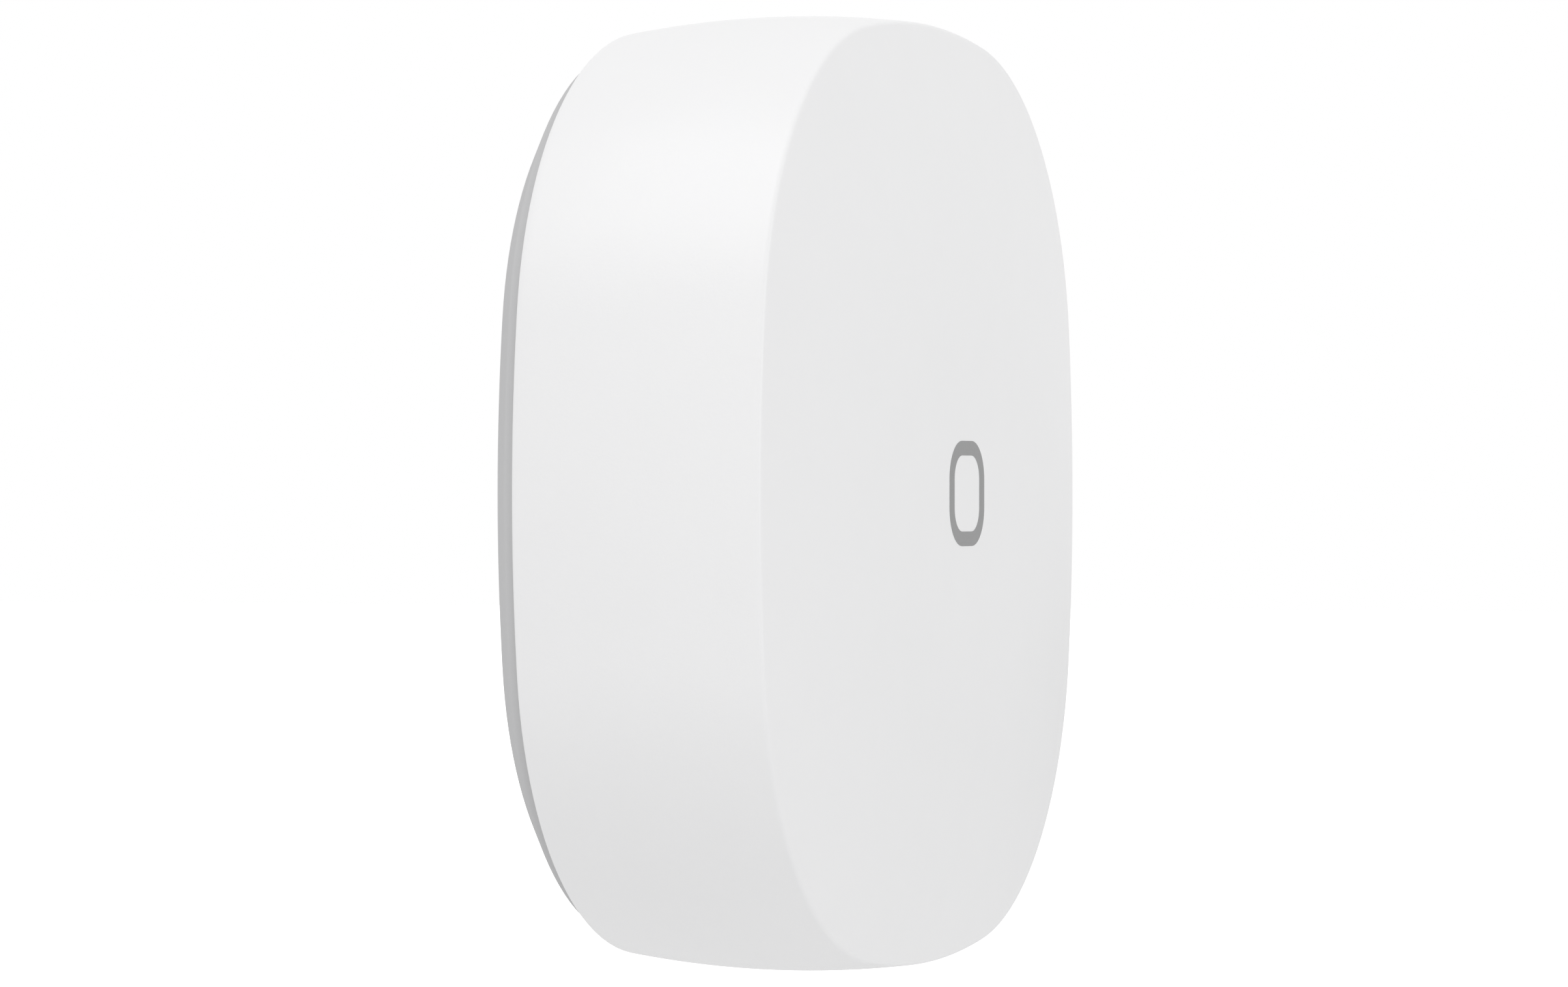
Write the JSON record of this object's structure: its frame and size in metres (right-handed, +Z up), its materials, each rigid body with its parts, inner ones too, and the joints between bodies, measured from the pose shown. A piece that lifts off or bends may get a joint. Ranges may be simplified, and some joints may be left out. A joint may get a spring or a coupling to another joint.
{
  "type": "smart button",
  "caption": "Rounded square wireless push button with a shallow domed face and a magnetic rear cover.",
  "frame": {"origin": "centre of the flat back face, on the wall", "axes": "+X to the right seen from the front, +Y into the wall, +Z up; the face looks along -Y"},
  "size_m": [0.04, 0.0139, 0.04],
  "materials": {
    "white_plastic": "fine matte moulded",
    "grey_ink": "pad printed",
    "grey_plastic": "fine matte moulded",
    "magnet": "nickel plated",
    "foam": "closed cell foam",
    "cell_steel": "satin nickel plated steel",
    "seal": "moulded gasket",
    "chassis_plastic": "moulded",
    "silicone": "soft moulded",
    "board": "solder mask over glass laminate",
    "screw_steel": "zinc plated",
    "shield_steel": "tinned steel",
    "chip_resin": "moulded epoxy",
    "copper": "gold plated copper",
    "ceramic": "sintered ceramic",
    "led_resin": "clear epoxy",
    "switch_resin": "moulded",
    "spring_steel": "nickel plated spring steel",
    "solder": "tinned",
    "button_resin": "moulded"
  },
  "bodies": {
    "rear_cover": {"rear_cover": "grey_plastic", "cover_magnets": "magnet", "cell_pad": "foam"},
    "chassis": {"chassis": "chassis_plastic", "stop_pads": "silicone", "circuit_board": "board", "board_screws": "screw_steel", "radio_shield": "shield_steel", "radio_chip": "chip_resin", "antenna": "copper", "crystal": "shield_steel", "capacitors": "ceramic", "status_led": "led_resin", "temperature_sensor": "chip_resin", "main_switch_base": "switch_resin", "main_switch_cover": "shield_steel", "main_switch_dome": "spring_steel", "main_switch_terminals": "solder", "positive_contact": "spring_steel", "negative_contact": "spring_steel", "pairing_switch": "switch_resin"},
    "push_cap": {"push_cap": "white_plastic", "printed_ring": "grey_ink"},
    "switch_plunger": {"main_switch_plunger": "switch_resin"},
    "coin_cell": {"cell_can": "cell_steel", "cell_seal": "seal", "cell_cap": "cell_steel"},
    "pairing_plunger": {"pairing_button": "button_resin"}
  },
  "joints": [
    {"name": "unit_release", "type": "slide", "parent": "rear_cover", "child": "chassis", "axis": [0, -1, 0], "range_m": [0, 0.016]},
    {"name": "cap_press", "type": "slide", "parent": "chassis", "child": "push_cap", "axis": [0, 1, 0], "range_m": [0, 0.0002], "stiffness_N_per_m": 2000, "springref_m": -0.0005},
    {"name": "switch_plunger_press", "type": "slide", "parent": "chassis", "child": "switch_plunger", "axis": [0, 1, 0], "range_m": [0, 0.0002], "deforming": ["main_switch_dome"]},
    {"name": "cell_lift", "type": "slide", "parent": "chassis", "child": "coin_cell", "axis": [0, 1, 0], "range_m": [0, 0.0072]},
    {"name": "pairing_press", "type": "slide", "parent": "chassis", "child": "pairing_plunger", "axis": [0, -1, 0], "range_m": [0, 0.00025], "stiffness_N_per_m": 1200, "springref_m": -0.0004}
  ],
  "couplings": [
    {"joint": "switch_plunger_press", "follows": "cap_press", "ratio": 1},
    {"joint": "cell_lift", "follows": "unit_release", "ratio": 0.45}
  ]
}
